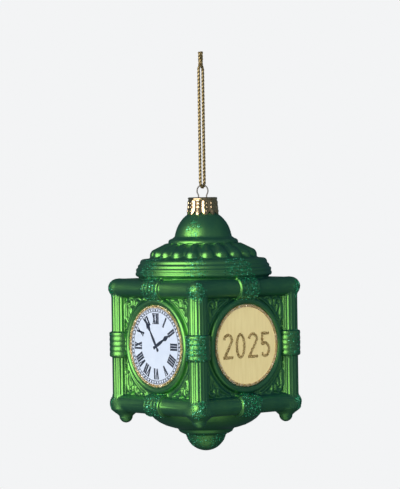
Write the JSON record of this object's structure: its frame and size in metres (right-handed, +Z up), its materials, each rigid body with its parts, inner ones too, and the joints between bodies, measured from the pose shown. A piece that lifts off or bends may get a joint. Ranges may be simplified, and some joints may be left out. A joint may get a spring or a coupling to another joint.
{
  "type": "hanging clock ornament",
  "caption": "Hanging blown-glass ornament shaped like a street clock: square case with corner posts, round clock dials and number discs, domed roof, crown cap and cord loop.",
  "frame": {"origin": "inside top of the cord loop, where it bears on the hook or twig that holds the ornament up", "axes": "+Z up; -Y is the front, with a clock dial; +X is the right side, with a number disc"},
  "size_m": [0.0672, 0.0672, 0.1843],
  "materials": {
    "lacquered_glass": "satin green lacquer over silvered glass",
    "cap_metal": "stamped, bright gold",
    "wire": "bright steel wire",
    "cord": "twisted metallic thread, antique gold",
    "dial": "smooth white print",
    "ink": "dark printed ink",
    "gold_disc": "matte pale gold paint",
    "gold_glitter": "coarse gold glitter",
    "green_glitter": "coarse green glitter"
  },
  "bodies": {
    "cord": {"hang_cord": "cord", "cord_knot": "cord"},
    "hanger": {"hanger_wire": "wire"},
    "cap": {"crown_cap": "cap_metal"},
    "glass": {"glass_body": "lacquered_glass", "dial_front": "dial", "dial_back": "dial", "dial_print_front": "ink", "dial_print_back": "ink", "year_disc_right": "gold_disc", "year_disc_left": "gold_disc", "year_numerals_right": "gold_glitter", "year_numerals_left": "gold_glitter", "glitter_ring_front": "gold_glitter", "glitter_ring_back": "gold_glitter", "glitter_ring_right": "gold_glitter", "glitter_ring_left": "gold_glitter", "post_collar_glitter": "green_glitter", "top_rail_glitter": "green_glitter", "bottom_rail_glitter": "green_glitter", "top_corner_glitter": "green_glitter", "bottom_corner_glitter": "green_glitter", "roof_glitter": "green_glitter", "dome_glitter": "green_glitter", "finial_glitter": "green_glitter"}
  },
  "joints": [
    {"name": "hanger_swing", "type": "hinge", "parent": "cord", "child": "hanger", "pos_m": [0, 0, -0.05435], "axis": [0.891, 0.454, 0], "range_deg": [-75, 75]},
    {"name": "cap_slide", "type": "slide", "parent": "hanger", "child": "cap", "axis": [0, 0, 1], "range_m": [-0.003, 0]},
    {"name": "cap_pull", "type": "slide", "parent": "cap", "child": "glass", "axis": [0, 0, 1], "range_m": [-0.028, 0]}
  ]
}
